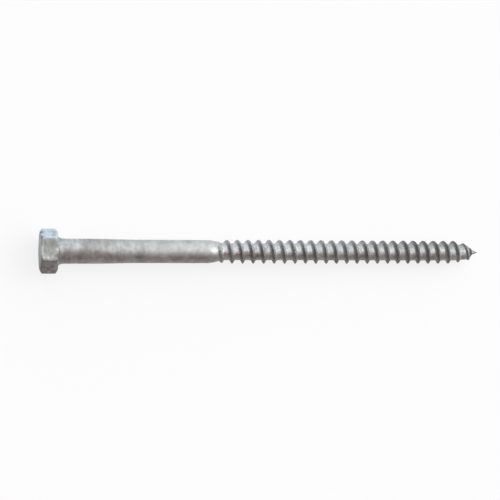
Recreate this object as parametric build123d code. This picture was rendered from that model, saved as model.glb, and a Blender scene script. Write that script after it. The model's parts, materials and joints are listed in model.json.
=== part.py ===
from build123d import *
import math
import os

# Hexagon-headed screw for timber, 10 mm by 180 mm: a forged hexagon head, a plain shank that swells
# a little under the head, a rolled coarse right-hand thread and a gimlet point with a bare nib.
# It is one piece of steel. Sizes are in millimetres and angles in degrees.

# Head
across_flats = 16.0
head_height = 7.0
head_chamfer_angle = 30.0
underside_facet_angle = 28.0
underside_edge = 3.8

# Shank, measured from the bearing face under the head
length_under_head = 180.0
shank_diameter = 9.6
neck_diameter = 10.2
neck_end = 14.0
neck_blend_length = 19.0
neck_fillet_width = 1.6
neck_fillet_length = 3.0

# Shoulder that leads from the plain shank down to the core of the thread
shoulder_radius = 14.0
shoulder_slope = 14.5
shoulder_overlap = 2.7

# Thread, measured back from the tip
thread_length = 114.4
thread_diameter = 10.0
core_diameter = 7.0
thread_pitch = 4.5
crest_width = 0.5
flank_angle = 30.0
run_in_length = 4.5
root_depth = 0.8

# Point, measured back from the tip
point_length = 10.9
point_thread_diameter = 6.6
point_core_diameter = 6.0
point_end_length = 1.75
nib_length = 2.95
nib_diameter = 2.56
nib_tip_diameter = 0.4

# Turns from the start of the ridge to the side of the screw that lies underneath
underside_turn = 0.75

# Sizes that follow from the ones above
neck_radius = neck_diameter / 2
fillet_radius = neck_radius + neck_fillet_width
shank_radius = shank_diameter / 2
core_radius = core_diameter / 2
thread_radius = thread_diameter / 2
nib_radius = nib_diameter / 2
thread_depth = thread_radius - core_radius
half_crest = crest_width / 2
half_base = half_crest + thread_depth * math.tan(math.radians(flank_angle))
ridge_start = length_under_head - thread_length
core_start = ridge_start + shoulder_overlap
point_start = length_under_head - point_length
nib_start = length_under_head - nib_length
straight_length = point_start - ridge_start
point_taper = (thread_radius - point_thread_diameter / 2) / (nib_start - point_start)


def tan(angle):
    """Tangent of an angle in degrees."""
    return math.tan(math.radians(angle))


def turned(outline):
    """Solid of revolution of a closed (radius, height) outline about the Z axis."""
    return revolve(Plane.XZ * make_face(outline), Axis.Z)


def corner_wedge():
    """Wedge beyond the small flat facet under the head's corner on the X axis."""
    inner = across_flats / 2
    facet_start = inner * math.cos(math.radians(30)) + underside_edge / 4
    wedge_end = across_flats
    wedge = Polyline(
        (facet_start, 0),
        (wedge_end, 0),
        (wedge_end, -(wedge_end - facet_start) * tan(underside_facet_angle)),
        close=True,
    )
    return extrude(Plane.XZ * make_face(wedge), inner, both=True)


def hexagon_head():
    """Hexagon prism on the bearing face, its corners cut back at both ends.

    On top a cone that meets the flats at the top face cuts them. Underneath the forging leaves a
    small flat facet on each corner, with a straight edge between them on each flat.
    """
    inner = across_flats / 2
    outer = across_flats / math.sqrt(3)
    top_drop = (outer - inner) * tan(head_chamfer_angle)
    prism = extrude(RegularPolygon(inner, 6, major_radius=False), -head_height)
    cone = Polyline(
        (0, 0),
        (outer, 0),
        (outer, top_drop - head_height),
        (inner, -head_height),
        (0, -head_height),
        close=True,
    )
    head = prism & turned(cone)
    for corner in range(6):
        head = head - Rot(0, 0, 60 * corner) * corner_wedge()
    return head


def shoulder():
    """Outline of the shoulder: an arc that leaves the shank, then a cone down to the core."""

    def on_arc(angle):
        """Radius of the arc at an angle, and the length along the axis from the arc's start."""
        fall = shoulder_radius * (1 - math.cos(math.radians(angle)))
        return shank_radius - fall, shoulder_radius * math.sin(math.radians(angle))

    foot_radius, arc_length = on_arc(shoulder_slope)
    middle_radius, middle_length = on_arc(shoulder_slope / 2)
    foot = core_start - (foot_radius - core_radius) / tan(shoulder_slope)
    start = foot - arc_length
    arc = ThreePointArc(
        (shank_radius, start),
        (middle_radius, start + middle_length),
        (foot_radius, foot),
    )
    return arc + Line((foot_radius, foot), (core_radius, core_start))


def turned_bar():
    """Shank, core of the thread and nib, turned as one bar that starts inside the head."""
    fillet = EllipticalCenterArc(
        (fillet_radius, neck_fillet_length),
        neck_fillet_width,
        neck_fillet_length,
        start_angle=180,
        arc_size=90,
    )
    neck = Line((neck_radius, neck_fillet_length), (neck_radius, neck_end))
    blend_end = (shank_radius, neck_end + neck_blend_length)
    blend = Spline((neck_radius, neck_end), blend_end, tangents=[(0, 1), (0, 1)])
    step_down = shoulder()
    shank = Line(blend_end, step_down @ 0)
    core = Polyline(
        (core_radius, core_start),
        (core_radius, point_start),
        (point_core_diameter / 2, nib_start - point_end_length),
        (nib_radius, nib_start),
        (nib_tip_diameter / 2, length_under_head),
        (0, length_under_head),
        (0, -head_height / 2),
        (fillet_radius, -head_height / 2),
        (fillet_radius, 0),
    )
    return turned(fillet + neck + blend + shank + step_down + core)


def ridge_section():
    """Section of the ridge: X is the height above the core, Y runs across; its foot is sunk."""
    outline = Polyline(
        (-root_depth, -half_base),
        (0, -half_base),
        (thread_depth, -half_crest),
        (thread_depth, half_crest),
        (0, half_base),
        (-root_depth, half_base),
        close=True,
    )
    return make_face(outline)


def helical_ridge():
    """Right-hand ridge: a straight helix along the core, then a conical one along the point."""
    straight = Helix(thread_pitch, straight_length, core_radius)
    section = Plane(straight @ 0, x_dir=(1, 0, 0), z_dir=straight % 0) * ridge_section()
    straight_ridge = sweep(section, path=straight, is_frenet=True)

    taper_angle = math.atan(point_taper)
    pitch_along_cone = thread_pitch / math.cos(taper_angle)
    conical_length = nib_start - point_start + half_base
    conical = Helix(
        pitch_along_cone,
        conical_length,
        core_radius,
        cone_angle=-math.degrees(taper_angle),
    )
    conical_ridge = sweep(section, path=conical, is_frenet=True)
    turn = 360 * straight_length / thread_pitch
    conical_ridge = Pos(0, 0, straight_length) * Rot(0, 0, turn) * conical_ridge
    return Pos(0, 0, ridge_start) * (straight_ridge + conical_ridge)


def ridge_envelope():
    """Turned body that trims the ridge: a cone lets the crest rise, a flat ends it at the nib."""
    shoulder_radius_there = core_radius + shoulder_overlap * tan(shoulder_slope)
    run_in_slope = (thread_radius - shoulder_radius_there) / run_in_length
    lift_start = ridge_start - (shoulder_radius_there - core_radius) / run_in_slope
    outside = thread_radius + thread_depth
    outline = Polyline(
        (0, lift_start),
        (core_radius, lift_start),
        (outside, lift_start + (outside - core_radius) / run_in_slope),
        (outside, nib_start),
        (0, nib_start),
        close=True,
    )
    return turned(outline)


def lag_screw():
    """The whole screw on the Z axis, bearing face at height 0 and tip at the top."""
    ridge = helical_ridge() & ridge_envelope()
    return hexagon_head() + turned_bar() + ridge


def last_crest():
    """Distance from the bearing face to the last full crest on the side that lies underneath."""
    turns = math.floor(straight_length / thread_pitch - underside_turn)
    return ridge_start + (turns + underside_turn) * thread_pitch


def laid_down(screw):
    """Lays the screw on its side, tip towards +X, two corners of the head towards +Y and -Y.

    It rests on the foot of one flat of the head and on the last full crest of the thread, so its
    axis slopes down a little towards the tip. The origin is under the middle of its box.
    """
    level = Plane(origin=(0, 0, 0), x_dir=(0, 1, 0), z_dir=(1, 0, 0)) * screw
    slope = math.degrees(math.atan((across_flats / 2 - thread_radius) / last_crest()))
    lying = Rot(0, slope, 0) * level
    box = lying.bounding_box()
    return Pos(-box.center().X, -box.center().Y, -box.min.Z) * lying


os.makedirs("parts", exist_ok=True)
export_step(laid_down(lag_screw()), "parts/lag_screw.step")
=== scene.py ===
"""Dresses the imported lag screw: one forged and rolled steel screw in a dull hot-dip zinc coat."""

import json
import logging
import math
from abc import ABC, abstractmethod
from dataclasses import dataclass, field
from enum import Enum
from typing import Any

import bmesh
import bpy
import numpy as np
from mathutils import Matrix, Vector

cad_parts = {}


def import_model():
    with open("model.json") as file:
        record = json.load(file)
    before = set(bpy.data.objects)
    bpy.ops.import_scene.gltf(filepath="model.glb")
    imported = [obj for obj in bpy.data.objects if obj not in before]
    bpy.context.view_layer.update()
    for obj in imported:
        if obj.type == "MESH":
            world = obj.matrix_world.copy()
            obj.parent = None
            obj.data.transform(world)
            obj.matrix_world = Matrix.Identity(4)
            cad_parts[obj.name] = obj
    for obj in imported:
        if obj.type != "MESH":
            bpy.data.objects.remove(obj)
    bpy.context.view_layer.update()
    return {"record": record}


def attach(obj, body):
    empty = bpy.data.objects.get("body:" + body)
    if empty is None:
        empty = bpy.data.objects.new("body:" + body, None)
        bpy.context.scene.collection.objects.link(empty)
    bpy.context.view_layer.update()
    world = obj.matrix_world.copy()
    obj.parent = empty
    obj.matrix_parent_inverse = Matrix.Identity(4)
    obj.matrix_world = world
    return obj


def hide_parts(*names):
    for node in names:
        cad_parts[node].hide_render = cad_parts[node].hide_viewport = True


LOG = logging.getLogger("lag_screw")
MM = 0.001
NODE = "lag_screw"
HEX_SIDE = math.radians(60.0)
HALF_SIDE = math.radians(30.0)
FULL_TURN = 2.0 * math.pi

Array = np.ndarray
Faces = list[tuple[int, ...]]
Row = tuple[Array, Array]
Stops = tuple[tuple[float, float], ...]
Colour = tuple[float, float, float]
Direction = tuple[float, float, float]
Socket = bpy.types.NodeSocket


class Mask(Enum):
    """What the mesh stores at each point for the finish to read."""

    # Painted shade on the side away from the light, with brown staining.
    UNDERSIDE = "underside_stain"
    # Painted shade on the thread's flanks and the head, with dirt.
    FLANK = "flank_grime"
    # Painted shadows and shade, and dirty spots.
    SMUDGE = "smudge"
    # Painted highlights, painted light in the roots, and bright zinc.
    BRIGHT = "bright_zinc"
    # A painted cool sky reflection.
    COOL = "cool_zinc"
    # Painted shadow at the neck, and dull zinc.
    DULL = "dull_zinc"
    MOTTLE = "mottled_zinc"
    STREAK = "streaked_zinc"
    RUST = "rust"


def smooth_min(a: Array, b: Array, blend: float) -> Array:
    """Smaller of two values, rounded over where they are within blend of each other."""
    near = np.maximum(blend - np.abs(a - b), 0.0)
    return np.minimum(a, b) - near * near / (4.0 * blend)


def smooth_max(a: Array, b: Array, blend: float) -> Array:
    """Larger of two values, rounded over where they are within blend of each other."""
    return -smooth_min(-a, -b, blend)


def smooth_step(low: float, high: float, x: Array) -> Array:
    """Rises from 0 at low to 1 at high with flat ends."""
    t = np.clip((x - low) / (high - low), 0.0, 1.0)
    return t * t * (3.0 - 2.0 * t)


def wrapped(x: Array, period: float) -> Array:
    """Distance from the nearest whole number of periods, below zero before it."""
    return (x + period / 2) % period - period / 2


@dataclass(frozen=True)
class Ease:
    """A smooth change between two values, flat at both ends."""

    low: float
    high: float

    @classmethod
    def mm(cls, low: float, high: float) -> "Ease":
        """A change between two lengths in millimetres."""
        return cls(low * MM, high * MM)

    def up(self, x: Array, base: float = 0.0) -> Array:
        """Rises from 0 at low to 1 at high, both counted from base."""
        return smooth_step(base + self.low, base + self.high, x)

    def down(self, x: Array, base: float = 0.0) -> Array:
        """Falls from 1 at low to 0 at high, both counted from base."""
        return 1.0 - self.up(x, base)


@dataclass(frozen=True)
class Stretch:
    """A stretch of the screw with a smooth start and a smooth end."""

    start: Ease
    end: Ease

    @classmethod
    def mm(cls, start: float, full: float, waning: float, end: float) -> "Stretch":
        """A stretch from the four lengths, in millimetres, at which it changes."""
        return cls(Ease.mm(start, full), Ease.mm(waning, end))

    def along(self, x: Array, base: float = 0.0) -> Array:
        """1 inside the stretch and 0 outside it, with both ends counted from base."""
        return self.start.up(x, base) * self.end.down(x, base)


@dataclass(frozen=True)
class Patchy:
    """A strength that a cloud of noise makes uneven."""

    level: float
    swing: float

    def of(self, cloud: Array) -> Array:
        """The strength under the cloud."""
        return self.level + self.swing * cloud


@dataclass(frozen=True)
class Mark:
    """One spot on the screw: where it is, how wide and how strong."""

    s: float
    turn: float
    size: float
    strength: float

    @classmethod
    def at(cls, s: float, degrees: float, size: float, strength: float) -> "Mark":
        """A spot whose place along the screw and size are in millimetres."""
        return cls(s * MM, math.radians(degrees), size * MM, strength)


@dataclass(frozen=True)
class ScrewSizes:
    """Sizes of the screw in metres, the same as the solid's. Lengths run from the bearing face."""

    across_flats: float = 16.0 * MM
    head_height: float = 7.0 * MM
    head_chamfer: float = math.radians(30.0)
    underside_facet: float = math.radians(28.0)
    underside_edge: float = 3.8 * MM
    corner_radius: float = 0.5 * MM
    edge_softness: float = 0.16 * MM
    length: float = 180.0 * MM
    shank_radius: float = 4.8 * MM
    neck_radius: float = 5.1 * MM
    neck_end: float = 14.0 * MM
    neck_blend: float = 19.0 * MM
    fillet_width: float = 1.6 * MM
    fillet_length: float = 3.0 * MM
    shoulder_radius: float = 14.0 * MM
    shoulder_slope: float = math.radians(14.5)
    shoulder_overlap: float = 2.7 * MM
    thread_length: float = 114.4 * MM
    thread_radius: float = 5.0 * MM
    core_radius: float = 3.5 * MM
    pitch: float = 4.5 * MM
    crest_width: float = 0.5 * MM
    flank: float = math.radians(30.0)
    run_in: float = 4.5 * MM
    point_length: float = 10.9 * MM
    point_thread_radius: float = 3.3 * MM
    point_core_radius: float = 3.0 * MM
    point_end: float = 1.75 * MM
    nib_length: float = 2.95 * MM
    nib_radius: float = 1.28 * MM
    tip_radius: float = 0.2 * MM

    @property
    def ridge_start(self) -> float:
        """Where the ridge leaves the shoulder."""
        return self.length - self.thread_length

    @property
    def core_start(self) -> float:
        """Where the shoulder reaches the core."""
        return self.ridge_start + self.shoulder_overlap

    @property
    def point_start(self) -> float:
        """Where the thread begins to taper."""
        return self.length - self.point_length

    @property
    def nib_start(self) -> float:
        """Where the thread ends and the bare nib begins."""
        return self.length - self.nib_length

    @property
    def steep_start(self) -> float:
        """Where the body under the last of the thread begins to narrow steeply."""
        return self.nib_start - self.point_end

    @property
    def thread_depth(self) -> float:
        """Height of the crest above the core."""
        return self.thread_radius - self.core_radius

    @property
    def half_foot(self) -> float:
        """Half the width of the ridge where it stands on the core."""
        return self.crest_width / 2 + self.thread_depth * math.tan(self.flank)

    @property
    def shoulder_start(self) -> float:
        """Where the plain shank begins to narrow.

        Returns:
            Its length from the bearing face.
        """
        fall = self.shoulder_radius * (1.0 - math.cos(self.shoulder_slope))
        cone = (self.shank_radius - fall - self.core_radius) / math.tan(self.shoulder_slope)
        return self.core_start - cone - self.shoulder_radius * math.sin(self.shoulder_slope)


@dataclass(frozen=True)
class Axis:
    """The line that the screw turns about, as the frame places it.

    side is level and points to the lit side, and up points away from the floor.
    """

    bearing: Vector
    along: Vector
    side: Vector
    up: Vector

    @classmethod
    def from_record(cls, record: dict[str, Any], sizes: ScrewSizes) -> "Axis":
        """Reads the axis from the record's mounts.

        Args:
            record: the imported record.
            sizes: the screw's sizes.

        Returns:
            The axis, with its zero at the bearing face and the tip along it.
        """
        mounts = {mount["name"]: mount for mount in record["mounts"]}
        along = Vector(mounts["bearing_face"]["axis"]).normalized()
        top = Vector(mounts["hex_drive"]["pos_m"])
        side = Vector((0.0, 1.0, 0.0))
        up = along.cross(side).normalized()
        return cls(top + along * sizes.head_height, along, side, up)

    def place(self, s: Array, radius: Array, angle: Array) -> Array:
        """Points in the frame from the length along the axis, the radius and the angle about it.

        Args:
            s: lengths from the bearing face, towards the tip.
            radius: distances from the axis.
            angle: angles from the side towards up, in radians.

        Returns:
            An array of points, one row each.
        """
        s, radius, angle = np.broadcast_arrays(s, radius, angle)
        points = np.array(self.bearing)[None, :] + s.reshape(-1, 1) * np.array(self.along)
        points = points + (radius * np.cos(angle)).reshape(-1, 1) * np.array(self.side)
        return points + (radius * np.sin(angle)).reshape(-1, 1) * np.array(self.up)

    def spot(self, s: float, radius: float, angle: float) -> Array:
        """One point in the frame."""
        return self.place(np.array([s]), np.array([radius]), np.array([angle]))[0]


class LatticeNoise:
    """Smooth noise in space with a fixed seed: random values on a lattice, blended between.

    ORIGIN keeps the lattice's cells well away from zero, and LAYER_SHIFT keeps the layers apart.
    """

    ORIGIN = 1000.0
    LAYER_SHIFT = 0.37

    def __init__(self, seed: int, size: int = 32) -> None:
        """Draws the lattice.

        Args:
            seed: seed of the random values.
            size: lattice points along each side.
        """
        self.size = size
        self.values = np.random.RandomState(seed).uniform(-1.0, 1.0, (size, size, size))

    def at(self, points: Array, scale: float) -> Array:
        """Noise from -1 to 1 at points, whose features are about scale apart.

        Args:
            points: points in metres, one row each.
            scale: distance between lattice points in metres.

        Returns:
            One value for each point.
        """
        place = points / scale + self.ORIGIN
        cell = np.floor(place).astype(int)
        t = smooth_step(0.0, 1.0, place - cell)
        total = np.zeros(len(points))
        for corner in range(8):
            step = np.array([corner & 1, (corner >> 1) & 1, (corner >> 2) & 1])
            weight = np.prod(np.where(step == 1, t, 1.0 - t), axis=1)
            i, j, k = ((cell + step) % self.size).T
            total += weight * self.values[i, j, k]
        return total

    def layered(self, points: Array, scale: float, layers: int) -> Array:
        """Sum of layers of noise, each half as wide and half as strong as the one before.

        Args:
            points: points in metres, one row each.
            scale: distance between lattice points in the widest layer.
            layers: number of layers.

        Returns:
            One value for each point.
        """
        total = np.zeros(len(points))
        for layer in range(layers):
            total += self.at(points + self.LAYER_SHIFT * layer, scale / 2**layer) / 2**layer
        return total


class GridMesh:
    """Rings and strips of points about the axis, gathered into one closed mesh."""

    def __init__(self, columns: Array) -> None:
        """Starts an empty mesh whose rings all have the same columns.

        Args:
            columns: angle of each column about the axis, in radians, rising from 0.
        """
        self.columns = columns
        self.s: list[Array] = []
        self.radius: list[Array] = []
        self.faces: Faces = []
        self.count = 0

    def ring(self, s: Array | float, radius: Array | float) -> Array:
        """Adds one ring of points.

        Args:
            s: length from the bearing face, for all columns or for each.
            radius: distance from the axis, for all columns or for each.

        Returns:
            The numbers of its points.
        """
        wide = np.zeros(len(self.columns))
        self.s.append(wide + s)
        self.radius.append(wide + radius)
        numbers = np.arange(self.count, self.count + len(self.columns))
        self.count += len(self.columns)
        return numbers

    def join(self, first: Array, second: Array) -> None:
        """Joins two rings with four-sided faces.

        Args:
            first: numbers of the ring nearer the head.
            second: numbers of the ring nearer the tip.
        """
        width = len(self.columns)
        for c in range(width):
            d = (c + 1) % width
            self.faces.append((first[c], first[d], second[d], second[c]))

    def extend(self, ring: Array, s: Array | float, radius: Array | float) -> Array:
        """Adds a ring nearer the tip, joined to the one before.

        Args:
            ring: numbers of the ring before.
            s: length of the new ring from the bearing face.
            radius: its distance from the axis.

        Returns:
            The numbers of the new ring's points.
        """
        following = self.ring(s, radius)
        self.join(ring, following)
        return following

    def join_helix(self, rows: list[Array], per_turn: int) -> None:
        """Joins rows that climb one pitch in a turn: each row's end meets a row one turn on.

        Args:
            rows: the rows in order, all flat against a plane at both ends of the list.
            per_turn: number of rows in one pitch.
        """
        last = len(self.columns) - 1
        for first, second in zip(rows, rows[1:]):
            for c in range(last):
                self.faces.append((first[c], first[c + 1], second[c + 1], second[c]))
        for index in range(len(rows) - per_turn - 1):
            here, above = rows[index], rows[index + 1]
            over, over_above = rows[index + per_turn], rows[index + per_turn + 1]
            self.faces.append((here[last], over[0], over_above[0], above[last]))

    def closed(self, top: Array, tip: Array, start: float, end: float) -> tuple[Array, ...]:
        """Closes the first and the last ring with one point each on the axis.

        Args:
            top: numbers of the first ring.
            tip: numbers of the last ring.
            start: length of the first ring's point from the bearing face.
            end: length of the last ring's point.

        Returns:
            Length, radius and angle of every point.
        """
        s = np.concatenate([*self.s, [start, end]])
        radius = np.concatenate([*self.radius, [0.0, 0.0]])
        angle = np.concatenate([np.tile(self.columns, len(self.s)), [0.0, 0.0]])
        top_point, tip_point = len(s) - 2, len(s) - 1
        width = len(self.columns)
        for c in range(width):
            d = (c + 1) % width
            self.faces.append((top_point, top[d], top[c]))
            self.faces.append((tip[c], tip[d], tip_point))
        return s, radius, angle


@dataclass
class ScrewForm:
    """The screw's true form below the head: the turned body and its helical ridge.

    wear_begins is the share of the length from which the crests grow rounder.
    """

    sizes: ScrewSizes = field(default_factory=ScrewSizes)
    shoulder_rounding: float = 0.25 * MM
    run_in_rounding: float = 0.3 * MM
    crest_rounding: float = 0.45 * MM
    root_rounding: float = 0.22 * MM
    worn_crest_rounding: float = 1.1 * MM
    wear_begins: float = 0.55

    def shank(self, s: Array) -> Array:
        """Radius of the turned body without the ridge.

        Args:
            s: lengths from the bearing face.

        Returns:
            Radii in metres.
        """
        sizes = self.sizes
        blend = smooth_step(0.0, 1.0, (s - sizes.neck_end) / sizes.neck_blend)
        radius = sizes.neck_radius + (sizes.shank_radius - sizes.neck_radius) * blend
        t = np.clip(s - sizes.shoulder_start, 0.0, None)
        arc_end = sizes.shoulder_radius * math.sin(sizes.shoulder_slope)
        on_arc = np.minimum(t, arc_end)
        arc = sizes.shoulder_radius - np.sqrt(sizes.shoulder_radius**2 - on_arc**2)
        cone = np.clip(t - arc_end, 0.0, None) * math.tan(sizes.shoulder_slope)
        core = np.full_like(radius, sizes.core_radius)
        radius = smooth_max(radius - arc - cone, core, self.shoulder_rounding)
        taper_length = sizes.steep_start - sizes.point_start
        slow = (sizes.core_radius - sizes.point_core_radius) / taper_length
        steep = (sizes.point_core_radius - sizes.nib_radius) / sizes.point_end
        fall = np.clip(s - sizes.point_start, 0.0, taper_length) * slow
        fall = fall + np.clip(s - sizes.steep_start, 0.0, None) * steep
        return np.maximum(radius - fall, sizes.tip_radius)

    def ridge(self, s: Array, offset: Array) -> Array:
        """Radius of the ridge's own surface, which may lie inside the body.

        Args:
            s: lengths from the bearing face.
            offset: distance along the axis from the middle of the crest.

        Returns:
            Radii in metres.
        """
        sizes = self.sizes
        depth = sizes.thread_depth
        point = sizes.nib_start - sizes.point_start
        taper = (sizes.thread_radius - sizes.point_thread_radius) / point
        sink = np.clip(s - offset - sizes.point_start, 0.0, None) * taper
        rise = (sizes.half_foot - np.abs(offset)) / math.tan(sizes.flank)
        worn = smooth_step(sizes.length * self.wear_begins, sizes.length, s)
        rounding = self.crest_rounding + (self.worn_crest_rounding - self.crest_rounding) * worn
        rounded_off = np.maximum(rounding - np.abs(rise - depth), 0.0) ** 2 / (4.0 * rounding)
        radius = sizes.core_radius - sink + (np.minimum(rise, depth) - rounded_off)
        start_radius = sizes.core_radius + sizes.shoulder_overlap * math.tan(sizes.shoulder_slope)
        slope = (sizes.thread_radius - start_radius) / sizes.run_in
        envelope = start_radius + (s - sizes.ridge_start) * slope
        return smooth_min(radius, envelope, self.run_in_rounding)

    def threaded(self, s: Array, offset: Array) -> Array:
        """Radius of the finished thread: the ridge where it stands clear of the body."""
        return smooth_max(self.shank(s), self.ridge(s, offset), self.root_rounding)


@dataclass
class HeadSection:
    """Rows of the hexagon head, worked out for every column at once.

    face_rows counts the rows on the top face, the chamfer, the side, the facet and the underside.
    softening_share is the most of a face that one softened edge may take. middle_share is the
    size of the hole in the middle of the top face, which one point closes.
    """

    sizes: ScrewSizes
    columns: Array
    face_rows: tuple[int, ...] = (12, 3, 12, 3, 4)
    softening_steps: int = 4
    softening_share: float = 0.45
    least_length: float = 1e-9
    middle_share: float = 0.05
    facet_inset: float = 0.02 * MM

    def _from_corner(self) -> Array:
        """Angle of each column from the nearest corner, below zero before it."""
        return wrapped(self.columns, HEX_SIDE)

    def hexagon(self) -> Array:
        """Works out the outline of the head.

        Returns:
            Distance from the axis to the side of the hexagon at each column.
        """
        corner_radius = self.sizes.corner_radius
        inner = self.sizes.across_flats / 2
        centre = inner / math.cos(HALF_SIDE) - corner_radius / math.cos(HALF_SIDE)
        from_corner = np.abs(self._from_corner())
        flat = inner / np.cos(HALF_SIDE - from_corner)
        inside = np.maximum(corner_radius**2 - (centre * np.sin(from_corner)) ** 2, 0.0)
        rounded = centre * np.cos(from_corner) + np.sqrt(inside)
        edge = math.atan2(corner_radius / 2, centre + corner_radius * math.cos(HALF_SIDE))
        return np.where(from_corner < edge, rounded, flat)

    def rows(self) -> list[Row]:
        """Rows from the middle of the top face to the outer end of the fillet at the neck.

        Returns:
            Pairs of (length along the axis, radius), each with one value for each column.
        """
        sizes = self.sizes
        side = self.hexagon()
        inner = sizes.across_flats / 2
        top = np.full_like(side, inner - sizes.edge_softness)
        facet_start = inner * math.cos(HALF_SIDE) + sizes.underside_edge / 4
        from_corner = self._from_corner()
        under = np.minimum(facet_start / np.cos(from_corner), side - self.facet_inset)
        top_drop = (side - top) * math.tan(sizes.head_chamfer)
        under_drop = (side - under) * np.cos(from_corner) * math.tan(sizes.underside_facet)
        low = np.full_like(side, -sizes.head_height)
        zero = np.zeros_like(side)
        corners = [
            (low, zero + inner * self.middle_share),
            (low, top),
            (low + top_drop, side),
            (-under_drop, side),
            (zero, under),
            (zero, zero + sizes.neck_radius + sizes.fillet_width),
        ]
        rows: list[Row] = [corners[0]]
        for index, count in enumerate(self.face_rows):
            start, end = corners[index], corners[index + 1]
            softened = (float(index > 0), float(index + 2 < len(corners)))
            rows += self._straight(start, end, count, softened)
            if index + 2 < len(corners):
                rows += self._softened(start, end, corners[index + 2])
        return rows

    def _reach(self, a: Row, b: Row) -> tuple[Array, Array]:
        """Length of each column's line between two corners, and how far softening may reach in.

        Args:
            a: length and radius at the first corner.
            b: length and radius at the second.

        Returns:
            The lengths and the reaches.
        """
        length = np.hypot(a[0] - b[0], a[1] - b[1])
        reach = np.minimum(self.sizes.edge_softness, length * self.softening_share)
        return np.maximum(length, self.least_length), reach

    def _straight(
        self, start: Row, end: Row, count: int, softened: tuple[float, float]
    ) -> list[Row]:
        """Rows strictly between two corners, clear of the softened stretches.

        Args:
            start: length and radius at the first corner.
            end: length and radius at the second.
            count: number of rows.
            softened: 1 where the first and the second corner are softened, and 0 where not.

        Returns:
            The rows in order.
        """
        length, reach = self._reach(start, end)
        near, far = softened[0] * reach / length, softened[1] * reach / length
        rows = []
        for step in range(1, count + 1):
            t = near + (1.0 - near - far) * step / (count + 1)
            rows.append((start[0] + (end[0] - start[0]) * t, start[1] + (end[1] - start[1]) * t))
        return rows

    def _softened(self, before: Row, corner: Row, after: Row) -> list[Row]:
        """Rows of a small curve that rounds one corner of the section.

        Args:
            before: length and radius at the corner before.
            corner: length and radius at the corner to round.
            after: length and radius at the corner after.

        Returns:
            The rows in order.
        """
        length_in, reach_in = self._reach(before, corner)
        length_out, reach_out = self._reach(corner, after)
        a = [corner[i] + (before[i] - corner[i]) * reach_in / length_in for i in (0, 1)]
        b = [corner[i] + (after[i] - corner[i]) * reach_out / length_out for i in (0, 1)]
        rows = []
        for step in range(self.softening_steps + 1):
            t = step / self.softening_steps
            u = 1 - t
            rows.append(tuple(u**2 * a[i] + 2 * t * u * corner[i] + t * t * b[i] for i in (0, 1)))
        return rows


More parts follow.
